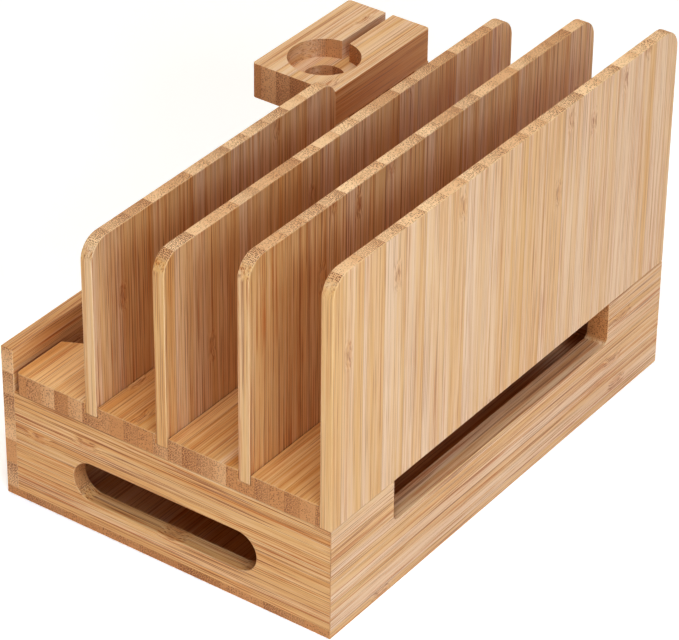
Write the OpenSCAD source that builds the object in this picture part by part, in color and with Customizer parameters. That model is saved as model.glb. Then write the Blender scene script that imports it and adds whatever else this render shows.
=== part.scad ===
// Bamboo charging station: an open box for a power strip and cables, a lift-off rack
// with four upright dividers on top of it, and a plug-in stand for a watch charging puck.
// X runs along the slots, the low front rail is at -Y, the raised back wall at +Y.
// The origin is on the table, under the middle of the box. Sizes are in millimetres.

/* [Box] */
// Length of the box and of the rack on it
box_l = 228; // [190:1:300]
// Width of the box, over the front and back walls
box_w = 155; // [148:1:200]
// Height of the front and end walls above the table
wall_h = 49; // [42:0.5:80]
// Height of the back wall above the table
back_h = 68.5; // [52:0.5:75]
// Thickness of the bottom panel
bottom_t = 3.8; // [3:0.1:8]
// Thickness of the two end walls
end_t = 7.4; // [5:0.1:12]
// Thickness of the front wall
front_t = 9.8; // [5:0.1:14]
// Thickness of the back wall
back_t = 5.8; // [4:0.1:7]

/* [Openings in the box] */
// Length of the round-ended hole in each end wall
end_hole_l = 87; // [40:1:100]
// Height of the round-ended hole in each end wall
end_hole_h = 17.6; // [12:0.2:20]
// Height of the middle of the end holes above the table
end_hole_z = 22.1; // [18:0.1:28]
// Length of the cut in the top of the front wall
notch_l = 148; // [80:1:165]
// Height of the front wall that is left under the cut
notch_z = 30.2; // [15:0.2:38]
// Radius in the two lower corners of the cut
notch_r = 3; // [1:0.5:5]

/* [Rack board] */
// Thickness of the rack board
board_t = 9.8; // [8:0.1:16]
// Gap between the rack board and the back wall
board_gap = 1.3; // [0.5:0.1:3]
// Radius of the rack board's two back corners
board_r = 2; // [0.5:0.5:4]
// Depth of the grooves that hold the dividers
groove_d = 4.5; // [3:0.1:5.5]
// Gap on each side of a loose piece in its groove or mortise
fit_gap = 0.25; // [0.15:0.05:0.4]
// Length of the back edge from the left end to the cable cut-out
left_ear_l = 27; // [15:1:45]
// Length of the back edge from the cable cut-out to the right end
right_ear_l = 29; // [24:1:45]
// Depth of the cable cut-out from the back edge
cutout_d = 17.2; // [8:0.2:25]
// Slant of the two ends of the cable cut-out
cutout_slant = 27; // [0:1:35]
// Radius in the two inner corners of the cable cut-out
cutout_r = 4; // [1:0.5:6]

/* [Dividers] */
// Thickness of the dividers
divider_t = 5.3; // [4:0.1:7]
// Height of the front divider's top above the table
front_top = 157; // [120:1:190]
// Height of the tall divider's top above the table
tall_top = 150.3; // [115:1:185]
// Height of the middle divider's top above the table
middle_top = 138; // [105:1:175]
// Height of the short divider's top above the table
short_top = 131; // [100:1:170]
// Length of the short divider
short_l = 152; // [110:1:156]
// How far the tall and middle dividers end before the right end of the rack
divider_inset = 2; // [0:0.5:8]
// Radius of the dividers' two top corners
divider_r = 9; // [3:0.5:15]
// Width of the slot between the front and tall dividers
front_slot = 31.4; // [25:0.2:33]
// Width of the slot between the tall and middle dividers
middle_slot = 33; // [25:0.2:35]
// Width of the slot between the middle and short dividers
back_slot = 28.3; // [22:0.2:29]

/* [Watch stand] */
// Length of the cradle that holds the charging puck
cradle_l = 66.6; // [60:0.2:70]
// Width of the cradle, forward from the outside of the back wall
cradle_w = 40.4; // [36:0.2:40.6]
// Thickness of the cradle
cradle_t = 15.6; // [13:0.2:20]
// Height of the cradle's top above the table
cradle_top = 119.5; // [100:0.5:135]
// Radius of the cradle's four upright edges
cradle_r = 1.4; // [0.6:0.2:4]
// Distance from the cradle to the right end of the rack
stand_inset = 2.6; // [1:0.2:4]
// Diameter of the recess for the puck
puck_d = 30; // [28:0.2:32]
// Depth of the recess for the puck
puck_h = 8.4; // [6:0.2:9]
// Distance of the recess's middle from the cradle's free end
puck_x = 21.2; // [19:0.2:26]
// Diameter of the hole through the floor of the recess
push_hole_d = 16.5; // [10:0.5:20]
// Width of the cable channel from the recess to the right end
channel_w = 3.6; // [3:0.1:5]
// Thickness of the upright post
post_t = 10; // [8:0.2:12]
// Thickness of the tenon under the post
tenon_t = 5.4; // [4:0.2:6]
// Depth of the tenon in the rack board
tenon_d = 6; // [4:0.2:7]
// Shoulder at each side of the tenon
shoulder = 5; // [3:0.5:8]
// Diameter of the two dowels between the post and the cradle
dowel_d = 5; // [4:0.5:6]
// Length of the dowels
dowel_l = 20; // [16:0.5:24]
// Depth of the dowels in the cradle
dowel_up = 7.6; // [6:0.2:8]
// Distance between the dowels
dowel_spacing = 18; // [16:0.5:20]

/* [Hidden] */
$fn = 64;
// How far a cutting shape runs past the surface that it cuts
past = 1;
// Glue gap round a dowel and at its two ends
glue_gap = 0.05;
dowel_end_gap = 0.6;

// Light and shaded bamboo
light_bamboo = [0.87, 0.72, 0.53];
warm_bamboo = [0.82, 0.63, 0.42];
deep_bamboo = [0.74, 0.53, 0.33];

board_top = wall_h + board_t;
board_w = box_w - back_t - board_gap;
groove_z = board_top - groove_d;
groove_w = divider_t + 2 * fit_gap;
// The front face of each divider, counted from the front of the box
tall_y = divider_t + front_slot;
middle_y = tall_y + divider_t + middle_slot;
short_y = middle_y + divider_t + back_slot;
long_divider_l = box_l - divider_inset;
cradle_x = box_l - stand_inset - cradle_l;
cradle_y = box_w - cradle_w;
cradle_z = cradle_top - cradle_t;
channel_y = cradle_y + cradle_w / 2;
post_x = box_l - stand_inset - post_t;
post_w = board_w - cradle_y;
dowel_x = post_x + post_t / 2;
dowel_mid_y = cradle_y + post_w / 2;

// Puts the front left corner of the box, where the pieces are laid out from, in its place
module from_corner() {
    translate([-box_l / 2, -box_w / 2, 0])
        children();
}

// A plate that stands along X and is drawn in X and Z, with its front face at y
module upright(y, thickness) {
    translate([0, y + thickness, 0])
        rotate([90, 0, 0])
            linear_extrude(thickness)
                children();
}

// The outline of an upright board, square at its foot and round at its two top corners
module rounded_top(length, foot, top, r) {
    translate([0, foot])
        square([length, top - foot - r]);
    translate([r, foot])
        square([length - 2 * r, top - foot]);
    for (x = [r, length - r])
        translate([x, top - r])
            circle(r);
}

// A rectangle with four round corners
module rounded_rectangle(length, width, r) {
    translate([r, 0])
        square([length - 2 * r, width]);
    translate([0, r])
        square([length, width - 2 * r]);
    for (x = [r, length - r], y = [r, width - r])
        translate([x, y])
            circle(r);
}

module bottom_panel() {
    color(warm_bamboo)
        from_corner()
            cube([box_l, box_w, bottom_t]);
}

// The front wall is mitred to both end walls, and its long cut is open at the top
module front_wall() {
    color(light_bamboo)
        from_corner()
            difference() {
                translate([0, 0, bottom_t])
                    linear_extrude(wall_h - bottom_t)
                        polygon([[0, 0], [box_l, 0], [box_l - end_t, front_t], [end_t, front_t]]);
                upright(-past, front_t + 2 * past)
                    front_notch();
            }
}

// The cut in the front wall, drawn in X and Z
module front_notch() {
    left = (box_l - notch_l) / 2;
    translate([left, notch_z + notch_r])
        square([notch_l, wall_h - notch_z - notch_r + past]);
    translate([left + notch_r, notch_z])
        square([notch_l - 2 * notch_r, wall_h - notch_z]);
    for (x = [left + notch_r, left + notch_l - notch_r])
        translate([x, notch_z + notch_r])
            circle(notch_r);
}

// The back wall stands over the ends of the end walls, and rises above the rack board
module back_wall() {
    color(warm_bamboo)
        from_corner()
            translate([0, box_w - back_t, bottom_t])
                cube([box_l, back_t, back_h - bottom_t]);
}

// An end wall for the left end: mitred at the front, butted against the back wall
module end_wall() {
    difference() {
        translate([0, 0, bottom_t])
            linear_extrude(wall_h - bottom_t)
                polygon([[0, 0], [end_t, front_t], [end_t, box_w - back_t], [0, box_w - back_t]]);
        end_hole();
    }
}

// The round-ended hole for cables and fingers, half way along the box's width
module end_hole() {
    reach = (end_hole_l - end_hole_h) / 2;
    translate([0, box_w / 2, end_hole_z]) {
        translate([-past, -reach, -end_hole_h / 2])
            cube([end_t + 2 * past, 2 * reach, end_hole_h]);
        for (side = [-1, 1])
            translate([-past, side * reach, 0])
                rotate([0, 90, 0])
                    cylinder(h = end_t + 2 * past, d = end_hole_h);
    }
}

module left_end_wall() {
    color(warm_bamboo)
        from_corner()
            end_wall();
}

module right_end_wall() {
    color(warm_bamboo)
        mirror([1, 0, 0])
            from_corner()
                end_wall();
}

// The rack board lies on the walls: three open-ended grooves for the dividers,
// a cut-out in its back edge for cables, and a mortise for the watch stand
module rack_board() {
    color(warm_bamboo)
        from_corner()
            difference() {
                translate([0, 0, wall_h])
                    linear_extrude(board_t)
                        difference() {
                            board_outline();
                            cable_cutout();
                        }
                for (y = [tall_y, middle_y, short_y])
                    translate([-past, y - fit_gap, groove_z])
                        cube([box_l + 2 * past, groove_w, groove_d + past]);
                tenon(fit_gap, board_top - tenon_d, board_top + past);
            }
}

// The board seen from above: square at the front, where the front divider is glued on
module board_outline() {
    translate([0, divider_t])
        square([box_l, board_w - divider_t - board_r]);
    translate([board_r, divider_t])
        square([box_l - 2 * board_r, board_w - divider_t]);
    for (x = [board_r, box_l - board_r])
        translate([x, board_w - board_r])
            circle(board_r);
}

// The cable cut-out seen from above: slanted ends and round inner corners
module cable_cutout() {
    slope = tan(cutout_slant);
    back = board_w + past;
    front = board_w - cutout_d;
    mid = front + cutout_r;
    left_mid = left_ear_l + (cutout_d - cutout_r) * slope + cutout_r / cos(cutout_slant);
    right_mid = box_l - right_ear_l - (cutout_d - cutout_r) * slope - cutout_r / cos(cutout_slant);
    left_touch = [left_mid - cutout_r * cos(cutout_slant), mid - cutout_r * sin(cutout_slant)];
    right_touch = [right_mid + cutout_r * cos(cutout_slant), mid - cutout_r * sin(cutout_slant)];
    polygon([[left_ear_l - past * slope, back], left_touch, [left_mid, mid], [left_mid, front],
        [right_mid, front], [right_mid, mid], right_touch, [box_l - right_ear_l + past * slope, back]]);
    for (x = [left_mid, right_mid])
        translate([x, mid])
            circle(cutout_r);
}

// The front divider is glued to the board's front edge, flush with the front wall
module front_divider() {
    color(light_bamboo)
        from_corner()
            upright(0, divider_t)
                rounded_top(box_l, wall_h, front_top, divider_r);
}

// A loose divider that stands in its groove
module loose_divider(y, length, top) {
    from_corner()
        upright(y, divider_t)
            rounded_top(length, groove_z, top, divider_r);
}

module tall_divider() {
    color(deep_bamboo)
        loose_divider(tall_y, long_divider_l, tall_top);
}

module middle_divider() {
    color(deep_bamboo)
        loose_divider(middle_y, long_divider_l, middle_top);
}

module short_divider() {
    color(deep_bamboo)
        loose_divider(short_y, short_l, short_top);
}

// The cradle reaches out from the post, so that a closed watch strap passes round it
module watch_cradle() {
    puck_z = cradle_top - puck_h;
    color(warm_bamboo)
        from_corner()
            difference() {
                translate([cradle_x, cradle_y, cradle_z])
                    linear_extrude(cradle_t)
                        rounded_rectangle(cradle_l, cradle_w, cradle_r);
                translate([cradle_x + puck_x, channel_y, puck_z])
                    cylinder(h = puck_h + past, d = puck_d, $fn = 96);
                translate([cradle_x + puck_x, channel_y, cradle_z - past])
                    cylinder(h = cradle_t, d = push_hole_d);
                translate([cradle_x + puck_x, channel_y - channel_w / 2, puck_z])
                    cube([cradle_l - puck_x + past, channel_w, puck_h + past]);
                dowel_holes();
            }
}

// The post stands on the rack board's right ear, with its tenon in the mortise
module watch_post() {
    color(deep_bamboo)
        from_corner()
            difference() {
                union() {
                    translate([post_x, cradle_y, board_top])
                        cube([post_t, post_w, cradle_z - board_top]);
                    tenon(0, board_top - tenon_d + fit_gap, board_top + past);
                }
                dowel_holes();
            }
}

// The tenon's space, grown by a gap on its four sides
module tenon(gap, low, high) {
    translate([dowel_x - tenon_t / 2 - gap, cradle_y + shoulder - gap, low])
        cube([tenon_t + 2 * gap, post_w - 2 * shoulder + 2 * gap, high - low]);
}

// The two dowels, or with gaps their holes, across the joint between post and cradle
module dowel_pair(side_gap, end_gap) {
    for (side = [-1, 1])
        translate([dowel_x, dowel_mid_y + side * dowel_spacing / 2, cradle_z + dowel_up - dowel_l - end_gap])
            cylinder(h = dowel_l + 2 * end_gap, d = dowel_d + 2 * side_gap, $fn = 32);
}

module dowel_holes() {
    dowel_pair(glue_gap, dowel_end_gap);
}

module post_dowels() {
    color(light_bamboo)
        from_corner()
            dowel_pair(0, 0);
}

bottom_panel();
front_wall();
back_wall();
left_end_wall();
right_end_wall();
rack_board();
front_divider();
tall_divider();
middle_divider();
short_divider();
watch_cradle();
watch_post();
post_dowels();
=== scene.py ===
"""Looks of the bamboo charging station: eased edges, laminated bamboo, studio light and the camera.

Everything is in metres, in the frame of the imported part: X along the slots, -Y the front, Z up.
"""
import math
from typing import NamedTuple

import bpy
from mathutils import Matrix, Vector


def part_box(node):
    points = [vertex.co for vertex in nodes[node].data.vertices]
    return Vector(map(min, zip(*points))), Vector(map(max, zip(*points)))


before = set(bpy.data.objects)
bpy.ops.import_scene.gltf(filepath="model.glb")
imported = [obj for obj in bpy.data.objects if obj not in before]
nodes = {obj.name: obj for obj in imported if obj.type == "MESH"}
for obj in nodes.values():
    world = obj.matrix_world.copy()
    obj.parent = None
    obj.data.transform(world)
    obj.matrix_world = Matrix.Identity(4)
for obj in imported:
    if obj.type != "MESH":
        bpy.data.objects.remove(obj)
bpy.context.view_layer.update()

MM = 0.001
X, Y, Z = 0, 1, 2


# Camera

# Where the photograph was taken from, and how the camera was turned
CAMERA_PLACE = (-0.9430, -0.6716, 0.8157)
CAMERA_AZIMUTH = -54.494
CAMERA_ELEVATION = 33.477
CAMERA_ROLL = 0.655
CAMERA_LENS = 187.35
SENSOR = 36.0
CLIP = (0.05, 50)


def make_camera():
    angles = (CAMERA_AZIMUTH, CAMERA_ELEVATION, CAMERA_ROLL)
    azimuth, elevation, roll = map(math.radians, angles)
    back = Vector((math.sin(azimuth) * math.cos(elevation),
                   -math.cos(azimuth) * math.cos(elevation),
                   math.sin(elevation)))
    level_right = (-back).cross(Vector((0, 0, 1))).normalized()
    level_up = level_right.cross(-back)
    right = level_right * math.cos(roll) + level_up * math.sin(roll)
    up = back.cross(right)
    data = bpy.data.cameras.new("camera")
    data.sensor_width = SENSOR
    data.lens = CAMERA_LENS
    data.clip_start, data.clip_end = CLIP
    camera = bpy.data.objects.new("camera", data)
    turn = Matrix((right, up, back)).transposed().to_4x4()
    camera.matrix_world = Matrix.Translation(CAMERA_PLACE) @ turn
    bpy.context.scene.collection.objects.link(camera)
    bpy.context.scene.camera = camera


# Shader graphs

class Graph:
    """A material's node tree, with short calls that add a node and link its inputs."""

    def __init__(self, name):
        self.material = bpy.data.materials.new(name)
        self.material.use_nodes = True
        self.tree = self.material.node_tree
        self.tree.nodes.clear()

    def node(self, kind, inputs=(), **settings):
        node = self.tree.nodes.new(kind)
        for key, value in settings.items():
            setattr(node, key, value)
        for key, value in dict(inputs).items():
            self.feed(node.inputs[key], value)
        return node

    def feed(self, socket, value):
        if isinstance(value, bpy.types.NodeSocket):
            self.tree.links.new(value, socket)
        else:
            socket.default_value = value

    def math(self, operation, *values, clamp=False):
        node = self.node("ShaderNodeMath", enumerate(values), operation=operation)
        node.use_clamp = clamp
        return node.outputs[0]

    def scaled(self, value, factor, offset=0.0, clamp=False):
        return self.math("MULTIPLY_ADD", value, factor, offset, clamp=clamp)

    def product(self, a, b, clamp=False):
        return self.math("MULTIPLY", a, b, clamp=clamp)

    def size(self, value):
        return self.math("ABSOLUTE", value)

    def mix(self, factor, a, b):
        node = self.node("ShaderNodeMix", data_type="RGBA")
        self.feed(node.inputs[0], factor)
        self.feed(node.inputs[6], a)
        self.feed(node.inputs[7], b)
        return node.outputs[2]

    def ramp(self, value, low, high, to_low=0.0, to_high=1.0):
        """A smooth step from to_low at low, to to_high at high."""
        node = self.node("ShaderNodeMapRange", interpolation_type="SMOOTHSTEP", clamp=True)
        for socket, entry in zip(node.inputs, (value, low, high, to_low, to_high)):
            self.feed(socket, entry)
        return node.outputs[0]

    def vector(self, x, y, z):
        return self.node("ShaderNodeCombineXYZ", enumerate((x, y, z))).outputs[0]

    def split(self, vector):
        return self.node("ShaderNodeSeparateXYZ", {0: vector}).outputs

    def noise(self, vector, detail=2.0, roughness=0.5):
        return self.node("ShaderNodeTexNoise", {"Vector": vector, "Scale": 1.0, "Detail": detail,
                                                "Roughness": roughness}).outputs["Fac"]

    def surface(self, linked, **fixed):
        """A Principled shader: linked inputs by name, and fixed ones with _ for each space."""
        shader = self.node("ShaderNodeBsdfPrincipled", linked)
        for key, value in fixed.items():
            shader.inputs[key.replace("_", " ")].default_value = value
        output = self.node("ShaderNodeOutputMaterial")
        self.tree.links.new(shader.outputs[0], output.inputs[0])
        return self.material


def srgb(red, green, blue):
    """A linear colour with alpha, from the 0 to 255 values that a screen shows."""
    def linear(value):
        value /= 255
        return value / 12.92 if value <= 0.04045 else ((value + 0.055) / 1.055) ** 2.4
    return (linear(red), linear(green), linear(blue), 1.0)


# Laminated bamboo

# From the palest strip to the darkest fibre
PALE = srgb(238, 201, 165)
HONEY = srgb(230, 181, 123)
AMBER = srgb(220, 156, 86)
BROWN = srgb(200, 115, 52)
DARK_FIBRE = srgb(158, 79, 30)
# End grain: its ground, the ground where it is darker, and the fibre bundles
END_GROUND = srgb(251, 209, 163)
END_SHADE = srgb(208, 146, 92)
END_DOT = srgb(130, 67, 32)
# Glue lines, and the lighter eased edges: partly rubbed wear, partly painted highlight
GLUE = srgb(150, 79, 32)
WORN_AND_HIGHLIGHT = srgb(240, 208, 168)

STRIP_START = 40.0        # keeps the count of strips above zero
STRIP_JITTER = 0.22       # how much strips differ in width
BUNDLE = 0.70 * MM        # from one fibre bundle to the next
BUNDLE_JITTER = 0.42
NODE_PERIOD = 230 * MM    # from one growth node to the next
NODE_BULGE = (0.9 * MM, 0.7 * MM)

# How much each mark covers, at contrast 1
PALE_STREAK = 0.42
BROWN_STREAK = 0.72
FINE_LINE = 0.56
BUNDLE_LINE = 0.10
NODE_STAIN = 0.18
BROKEN_FIBRE = 0.55
# The eased edges made lighter: partly rubbed wear, partly painted highlight
RUBBED_AND_HIGHLIGHT = 0.20


class Board(NamedTuple):
    """How a piece is glued up from strips of bamboo, and how it looks."""
    grain: int          # the axis that the fibres run along
    across: int         # the axis that the strips lie along
    stave: float        # a strip's usual width in mm
    shift: float        # moves the glue lines, in mm
    seed: float         # sets its strips apart from another board's
    tone: float         # makes its faces darker
    painted_side_shade: float    # painted shade: makes the outer sides of its outer strips darker
    end_tone: float     # makes its end grain darker
    contrast: float     # makes the fibres stand out
    variety: float      # makes its strips differ


class Wood:
    """The fields that a board's colour, gloss and bump are made of."""

    def __init__(self, g, board):
        self.g, self.board = g, board
        coords = g.node("ShaderNodeTexCoord")
        third = 3 - board.grain - board.across
        place = g.split(coords.outputs["Object"])
        normal = g.split(coords.outputs["Normal"])
        generated = g.split(coords.outputs["Generated"])
        self.u, self.v, self.w = place[board.grain], place[board.across], place[third]
        self.facing_grain = g.size(normal[board.grain])
        self.facing_across = g.size(normal[board.across])
        self.facing_third = g.size(normal[third])
        self.outward = g.size(g.math("SUBTRACT", generated[board.across], 0.5))
        self.lay_strips()
        self.grow_nodes()
        self.draw_fibres()
        self.bundle_fibres()
        self.on_end = g.ramp(self.facing_grain, 0.55, 0.85)
        self.on_side = g.ramp(self.facing_across, 0.80, 0.95)

    def lay_strips(self):
        """Each strip's random numbers rnd, the place within it, and edge, the distance to its
        glue line; both in strips."""
        g, board = self.g, self.board
        count = g.scaled(self.v, 1 / (board.stave * MM),
                         board.shift / board.stave + STRIP_START + board.seed)

        def strips(feature):
            inputs = {"W": count, "Scale": 1.0, "Randomness": STRIP_JITTER}
            return g.node("ShaderNodeTexVoronoi", inputs, voronoi_dimensions="1D",
                          feature=feature).outputs

        nearest = strips("F1")
        self.rnd = g.split(nearest["Color"])
        self.within = g.math("SUBTRACT", count, nearest["W"])
        self.edge = strips("DISTANCE_TO_EDGE")["Distance"]

    def grow_nodes(self):
        """knuckle is 1 at a growth node, which each strip has at its own height. The fibres
        bulge aside there, so v and w are bent for what comes after."""
        g, board = self.g, self.board
        height = g.scaled(self.u, 1 / NODE_PERIOD, g.product(self.rnd[1], 7.3))
        from_node = g.size(g.math("SUBTRACT", g.math("FRACT", height), 0.5))
        away_mm = g.product(from_node, NODE_PERIOD / MM)
        aside = g.size(g.math("ADD", self.within, g.scaled(self.rnd[2], 0.5, -0.25)))
        self.knuckle = g.product(g.ramp(away_mm, 8.0, 0.6),
                                 g.ramp(aside, 3.4 / board.stave, 0.8 / board.stave))
        self.v = g.scaled(self.knuckle, NODE_BULGE[0], self.v)
        self.w = g.scaled(self.knuckle, NODE_BULGE[1], self.w)

    def draw_fibres(self):
        g = self.g

        def afresh(channel):
            """A start of its own for each strip, from one of its random numbers."""
            return g.scaled(self.rnd[channel], 57.0, self.board.seed)

        self.broad = self.drawn_out(140, 3.6, afresh(2), 2.0, 0.55)
        self.fibres = self.drawn_out(85, 1.0, afresh(1), 4.0, 0.78)
        self.lines = self.drawn_out(60, 0.52, afresh(0), 2.0, 0.6)
        dashes = self.drawn_out(4.8, 0.5, 0.0, 1.0, 0.5)
        self.broken = g.product(self.knuckle, g.ramp(dashes, 0.53, 0.62))

    def drawn_out(self, length_mm, width_mm, start, detail, roughness):
        """Noise that is stretched along the grain."""
        g = self.g
        vector = g.vector(g.product(self.u, 1 / (length_mm * MM)),
                          g.scaled(self.v, 1 / (width_mm * MM), start),
                          g.product(self.w, 1 / (width_mm * MM)))
        return g.noise(vector, detail, roughness)

    def bundle_fibres(self):
        """dot is 1 in a fibre bundle. A bundle is a column along the grain, so it is a dot on
        end grain and a line elsewhere."""
        g = self.g
        sway = g.scaled(self.broad, 1.2, -0.6)
        cell = g.vector(g.scaled(self.v, 1 / BUNDLE, sway), g.scaled(self.w, 1 / BUNDLE, sway),
                        g.scaled(self.u, 9.0, g.product(self.rnd[0], 50.0)))
        inputs = {"Vector": cell, "Scale": 1.0, "Randomness": BUNDLE_JITTER}
        column = g.node("ShaderNodeTexVoronoi", inputs, voronoi_dimensions="3D", feature="F1")
        self.dot = g.ramp(column.outputs["Distance"], 0.54, 0.26)

    def colour_along(self):
        """The colour of faces and sides."""
        g, board = self.g, self.board
        # Painted shade: the outer sides of the outer strips are darkened, standing in for the shade on
        # the cradle's sides
        shaded_outer_side = g.product(self.on_side, g.ramp(self.outward, 0.480, 0.490))
        tone = g.scaled(self.rnd[0], board.variety, g.scaled(shaded_outer_side, board.painted_side_shade, board.tone))
        tone = g.math("ADD", tone, g.scaled(self.broad, 0.9, g.scaled(self.within, 0.26, -0.45)))
        colour = g.mix(g.ramp(tone, 0.0, 0.5), PALE, HONEY)
        colour = g.mix(g.ramp(tone, 0.45, 1.0), colour, AMBER)
        colour = g.mix(g.ramp(tone, 1.0, 1.8), colour, BROWN)
        streaked = g.scaled(self.on_side, -0.25 * board.contrast, board.contrast)
        pale = g.product(g.ramp(self.fibres, 0.49, 0.36, 0.0, PALE_STREAK), streaked)
        brown = g.product(g.ramp(self.fibres, 0.50, 0.66, 0.0, BROWN_STREAK), streaked, clamp=True)
        line = g.product(g.ramp(self.lines, 0.54, 0.64), FINE_LINE * board.contrast)
        marks = (
            (pale, PALE),
            (brown, BROWN),
            (line, DARK_FIBRE),
            (g.product(self.dot, BUNDLE_LINE * board.contrast), DARK_FIBRE),
            (g.product(self.knuckle, NODE_STAIN * board.contrast), BROWN),
            (g.product(self.broken, BROKEN_FIBRE), DARK_FIBRE),
        )
        for amount, mark in marks:
            colour = g.mix(amount, colour, mark)
        return colour

    def colour_on_end(self):
        """The colour of end grain, where one side of each strip is darker and more crowded."""
        g, board = self.g, self.board
        shade = g.scaled(self.rnd[0], 0.65, board.end_tone - 0.15, clamp=True)
        ground = g.mix(shade, END_GROUND, END_SHADE)
        ground = g.mix(g.ramp(self.within, -0.1, 0.5, 0.0, 0.4), ground, END_SHADE)
        crowding = g.ramp(g.scaled(self.rnd[1], 0.7, self.within), -0.3, 1.0, 0.45, 0.90)
        return g.mix(g.product(self.dot, crowding), ground, END_DOT)

    def glue_lines(self):
        """1 in a glue line. Some of them are hardly seen."""
        g, board = self.g, self.board
        from_edge_mm = g.product(self.edge, board.stave)
        clear = g.ramp(self.rnd[2], 0.0, 1.0, 0.05 * board.contrast, 0.45 * board.contrast)
        seam = g.product(g.ramp(from_edge_mm, 0.30, 0.06), clear)
        return g.product(seam, g.scaled(self.on_end, -0.5, 1.0))

    def rubbed_and_highlit_edges(self):
        """1 on the eased edges round the board's faces, which are made lighter: partly rubbed wear,
        partly a painted highlight.
        """
        g = self.g
        return g.product(g.ramp(self.facing_third, 0.12, 0.35), g.ramp(self.facing_third, 0.985, 0.92))


def bamboo(name, board):
    """Strips of bamboo glued side by side, with a satin lacquer over the fibres."""
    g = Graph(name)
    wood = Wood(g, board)
    seam = wood.glue_lines()
    colour = g.mix(wood.on_end, wood.colour_along(), wood.colour_on_end())
    colour = g.mix(seam, colour, GLUE)
    # Lighter eased edges: partly rubbed wear, partly a painted highlight
    colour = g.mix(g.product(wood.rubbed_and_highlit_edges(), RUBBED_AND_HIGHLIGHT), colour, WORN_AND_HIGHLIGHT)

    height = g.scaled(wood.fibres, -0.7, g.product(wood.dot, -0.35))
    height = g.math("SUBTRACT", height, g.product(seam, 0.4))
    height = g.math("SUBTRACT", height, g.product(wood.broken, 0.8))
    bump = g.node("ShaderNodeBump", {"Strength": 0.4, "Distance": 0.06 * MM, "Height": height})
    roughness = g.scaled(wood.fibres, 0.20, g.scaled(wood.on_end, 0.12, 0.34))
    linked = {"Base Color": colour, "Roughness": roughness, "Normal": bump.outputs[0]}
    return g.surface(linked, Specular_IOR_Level=0.25, Coat_Weight=0.06, Coat_Roughness=0.32)


# Eased edges

EASE = 0.45 * MM                   # radius of the outward edges
WELD = 0.002 * MM                  # points closer than this are one
FLAT = math.radians(0.6)           # faces within this angle are one
OUTWARD = 0.5                      # radians by which an eased edge bends outward at least
IN_SEAM = 0.02 * MM                # an edge nearer than this to a glued plane lies in it
SMOOTH_UP_TO = math.radians(38)    # sharper edges are shaded crisp


def field_tree(name):
    """An empty geometry node tree with one geometry in and one out."""
    tree = bpy.data.node_groups.new(name, "GeometryNodeTree")
    tree.interface.new_socket("Geometry", in_out="INPUT", socket_type="NodeSocketGeometry")
    tree.interface.new_socket("Geometry", in_out="OUTPUT", socket_type="NodeSocketGeometry")
    return tree, tree.nodes.new("NodeGroupInput"), tree.nodes.new("NodeGroupOutput")


def operate(tree, operation, a, b=None):
    node = tree.nodes.new("ShaderNodeMath")
    node.operation = operation
    for socket, value in zip(node.inputs, (a, b)):
        if isinstance(value, bpy.types.NodeSocket):
            tree.links.new(value, socket)
        elif value is not None:
            socket.default_value = value
    return node.outputs[0]


def marked_edges(name, seams):
    """Gives bevel weight to the outward edges of a node, but not to those that lie in a seam,
    which is a plane where two pieces are glued and sanded flush."""
    tree, start, end = field_tree(name)
    link = tree.links.new
    angle = tree.nodes.new("GeometryNodeInputMeshEdgeAngle")
    chosen = operate(tree, "GREATER_THAN", angle.outputs["Signed Angle"], OUTWARD)
    ends = tree.nodes.new("GeometryNodeInputMeshEdgeVertices")
    splits = []
    for place in ("Position 1", "Position 2"):
        split = tree.nodes.new("ShaderNodeSeparateXYZ")
        link(ends.outputs[place], split.inputs[0])
        splits.append(split)
    for axis, value in seams:
        off = []
        for split in splits:
            far = operate(tree, "SUBTRACT", split.outputs[axis], value)
            off.append(operate(tree, "ABSOLUTE", far))
        clear = operate(tree, "GREATER_THAN", operate(tree, "MAXIMUM", *off), IN_SEAM)
        chosen = operate(tree, "MULTIPLY", chosen, clear)
    store = tree.nodes.new("GeometryNodeStoreNamedAttribute")
    store.data_type, store.domain = "FLOAT", "EDGE"
    store.inputs["Name"].default_value = "bevel_weight_edge"
    link(start.outputs[0], store.inputs["Geometry"])
    link(chosen, store.inputs["Value"])
    link(store.outputs[0], end.inputs[0])
    return tree


def shaded_by_angle(name, limit):
    """Smooth shading, with the edges sharper than limit kept crisp."""
    tree, start, end = field_tree(name)
    link = tree.links.new
    faces = tree.nodes.new("GeometryNodeSetShadeSmooth")
    faces.domain = "FACE"
    edges = tree.nodes.new("GeometryNodeSetShadeSmooth")
    edges.domain = "EDGE"
    edges.inputs["Shade Smooth"].default_value = False
    angle = tree.nodes.new("GeometryNodeInputMeshEdgeAngle")
    sharp = operate(tree, "GREATER_THAN", angle.outputs["Unsigned Angle"], limit)
    link(start.outputs[0], faces.inputs["Geometry"])
    link(faces.outputs[0], edges.inputs["Geometry"])
    link(sharp, edges.inputs["Selection"])
    link(edges.outputs[0], end.inputs[0])
    return tree


def ease_edges(node, seams, shading):
    """Rounds the outward edges of a node with modifiers, and leaves its mesh alone."""
    piece = nodes[node]
    weld = piece.modifiers.new("weld", "WELD")
    weld.merge_threshold = WELD
    flat = piece.modifiers.new("flat", "DECIMATE")
    flat.decimate_type = "DISSOLVE"
    flat.angle_limit = FLAT
    marks = piece.modifiers.new("marks", "NODES")
    marks.node_group = marked_edges("edges_of_" + node, seams)
    bevel = piece.modifiers.new("eased", "BEVEL")
    bevel.limit_method = "WEIGHT"
    bevel.width = EASE
    bevel.segments = 3
    bevel.use_clamp_overlap = True
    bevel.loop_slide = False
    shade = piece.modifiers.new("shade", "NODES")
    shade.node_group = shading
    even = piece.modifiers.new("even", "WEIGHTED_NORMAL")
    even.keep_sharp = True
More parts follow.
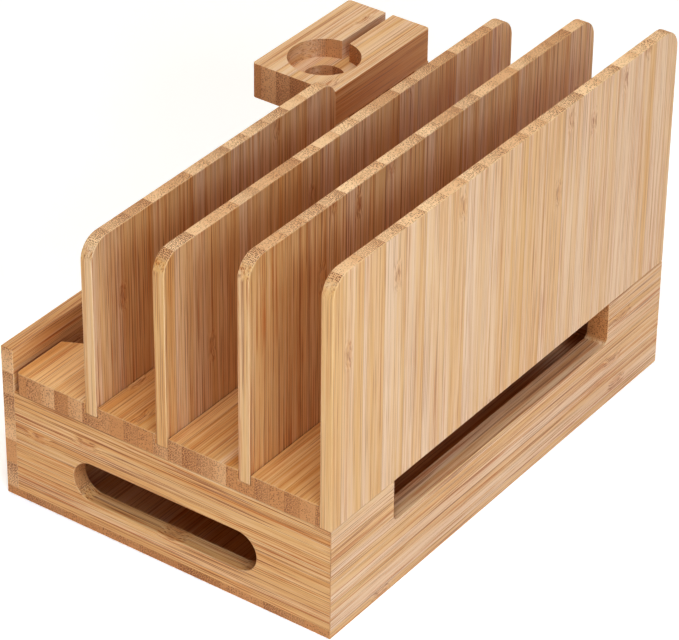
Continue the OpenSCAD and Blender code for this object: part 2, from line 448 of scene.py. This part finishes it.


# The pieces

# Grain axis, axis across, strip width and shift in mm, seed, tone, painted side shade, end tone,
# contrast, variety
BOARDS = {
    "bottom_panel": Board(X, Y, 19.0, 0.0, 3.0, 0.30, 0.0, 0.95, 0.9, 0.30),
    "front_wall": Board(X, Z, 12.5, 4.2, 11.0, 0.12, 0.0, 0.80, 1.1, 0.30),
    "back_wall": Board(X, Z, 10.6, 1.5, 23.0, 0.30, 0.0, 0.55, 1.2, 0.40),
    "left_end_wall": Board(Y, Z, 9.3, 8.0, 31.0, 0.28, 0.0, 0.40, 1.45, 0.36),
    "right_end_wall": Board(Y, Z, 9.3, 8.0, 37.0, 0.28, 0.0, 0.40, 1.45, 0.36),
    "rack_board": Board(X, Y, 6.8, 0.0, 43.0, 0.40, 0.0, 0.68, 0.90, 0.42),
    "front_divider": Board(Z, X, 13.0, 0.0, 53.0, 0.08, 0.0, 0.00, 0.70, 0.32),
    "tall_divider": Board(Z, X, 12.4, 0.0, 61.0, 0.20, 0.0, 0.16, 1.15, 0.45),
    "middle_divider": Board(Z, X, 12.8, 0.0, 71.0, 0.20, 0.0, 0.16, 1.15, 0.45),
    "short_divider": Board(Z, X, 12.2, 0.0, 83.0, 0.20, 0.2, 0.16, 1.15, 0.45),
    "watch_cradle": Board(X, Y, 7.2, 3.0, 98.0, 0.17, 0.75, 0.80, 0.85, 0.22),
    "watch_post": Board(Z, Y, 8.0, 0.0, 101.0, 0.30, 0.0, 0.40, 1.0, 0.36),
    "post_dowels": Board(Z, Y, 6.0, 0.0, 107.0, 0.10, 0.0, 0.20, 0.8, 0.20),
}


def glued_planes():
    """The nodes with eased edges, each with its glued planes as pairs of axis and place."""
    panel_top = (Z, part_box("bottom_panel")[1].z)
    back_wall_inside = (Y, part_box("back_wall")[0].y)
    divider_back = (Y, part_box("front_divider")[1].y)
    board_top = (Z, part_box("rack_board")[1].z)
    cradle_under = (Z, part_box("watch_cradle")[0].z)
    return {
        "bottom_panel": [panel_top],
        "front_wall": [panel_top],
        "back_wall": [panel_top],
        "left_end_wall": [panel_top, back_wall_inside],
        "right_end_wall": [panel_top, back_wall_inside],
        "rack_board": [divider_back],
        "front_divider": [],
        "tall_divider": [],
        "middle_divider": [],
        "short_divider": [],
        "watch_cradle": [],
        "watch_post": [cradle_under, board_top],
    }


def dress():
    shading = shaded_by_angle("shaded_by_angle", SMOOTH_UP_TO)
    for node, planes in glued_planes().items():
        ease_edges(node, planes, shading)
    for node, board in BOARDS.items():
        materials = nodes[node].data.materials
        materials.clear()
        materials.append(bamboo("bamboo_" + node, board))


# Floor and light

FLOOR_HALF = 6.0
FLOOR_MOTTLE = (30, 30, 30)
FLOOR_PALE = (0.97, 0.94, 0.92, 1)
FLOOR_SHADE = (0.93, 0.90, 0.88, 1)
# The floor shines a little, so that it is as white as the photograph's ground
FLOOR_GLOW_COLOUR = (0.93, 0.97, 1, 1)
FLOOR_GLOW = 0.25

LIGHT_TARGET = Vector((0, 0, 0.07))
AMBIENT = (1.0, 0.56, 0.14, 1)
AMBIENT_STRENGTH = 0.18
GAMMA = 0.80


class SoftBox(NamedTuple):
    """A round soft light that looks at the middle of the object."""
    name: str
    azimuth: float      # degrees from the left end towards the front
    elevation: float
    distance: float
    diameter: float
    watts: float
    colour: tuple


LIGHTS = (
    SoftBox("key", 60, 32, 0.95, 0.32, 2.65, (0.72, 1.0, 1.30)),
    SoftBox("high_left", 35, 55, 1.5, 0.50, 7.1, (0.73, 1.0, 1.27)),
    SoftBox("low_left", 26, 12, 1.8, 0.57, 4.8, (0.74, 1.0, 1.12)),
    SoftBox("back_right", 217, 37, 2.5, 1.40, 13.0, (1.05, 1.0, 0.86)),
    SoftBox("top", 180, 89, 3.4, 2.20, 47.0, (0.89, 1.0, 1.06)),
)


def floor_material():
    g = Graph("studio_floor")
    coords = g.node("ShaderNodeTexCoord").outputs["Object"]
    mapping = g.node("ShaderNodeMapping", {"Vector": coords, "Scale": FLOOR_MOTTLE})
    mottle = g.noise(mapping.outputs[0], 3.0)
    colour = g.mix(g.product(mottle, 0.05), FLOOR_PALE, FLOOR_SHADE)
    return g.surface({"Base Color": colour}, Roughness=0.9, Specular_IOR_Level=0.1,
                     Emission_Color=FLOOR_GLOW_COLOUR, Emission_Strength=FLOOR_GLOW)


def make_floor():
    half = FLOOR_HALF
    mesh = bpy.data.meshes.new("floor")
    corners = [(-half, -half, 0), (half, -half, 0), (half, half, 0), (-half, half, 0)]
    mesh.from_pydata(corners, [], [(0, 1, 2, 3)])
    mesh.materials.append(floor_material())
    floor = bpy.data.objects.new("floor", mesh)
    bpy.context.scene.collection.objects.link(floor)


def hang_light(box):
    azimuth, elevation = math.radians(box.azimuth), math.radians(box.elevation)
    away = Vector((-math.cos(elevation) * math.cos(azimuth),
                   -math.cos(elevation) * math.sin(azimuth),
                   math.sin(elevation)))
    data = bpy.data.lights.new(box.name, "AREA")
    data.shape = "DISK"
    data.size = box.diameter
    data.energy = box.watts
    data.color = box.colour
    light = bpy.data.objects.new(box.name, data)
    light.location = LIGHT_TARGET + away * box.distance
    light.rotation_mode = "QUATERNION"
    light.rotation_quaternion = (-away).to_track_quat("-Z", "Y")
    bpy.context.scene.collection.objects.link(light)


def make_light():
    for box in LIGHTS:
        hang_light(box)
    world = bpy.data.worlds.new("studio")
    world.use_nodes = True
    background = world.node_tree.nodes["Background"]
    background.inputs[0].default_value = AMBIENT
    background.inputs[1].default_value = AMBIENT_STRENGTH
    bpy.context.scene.world = world
    view = bpy.context.scene.view_settings
    view.view_transform = "Standard"
    view.gamma = GAMMA


make_camera()
dress()
make_floor()
make_light()
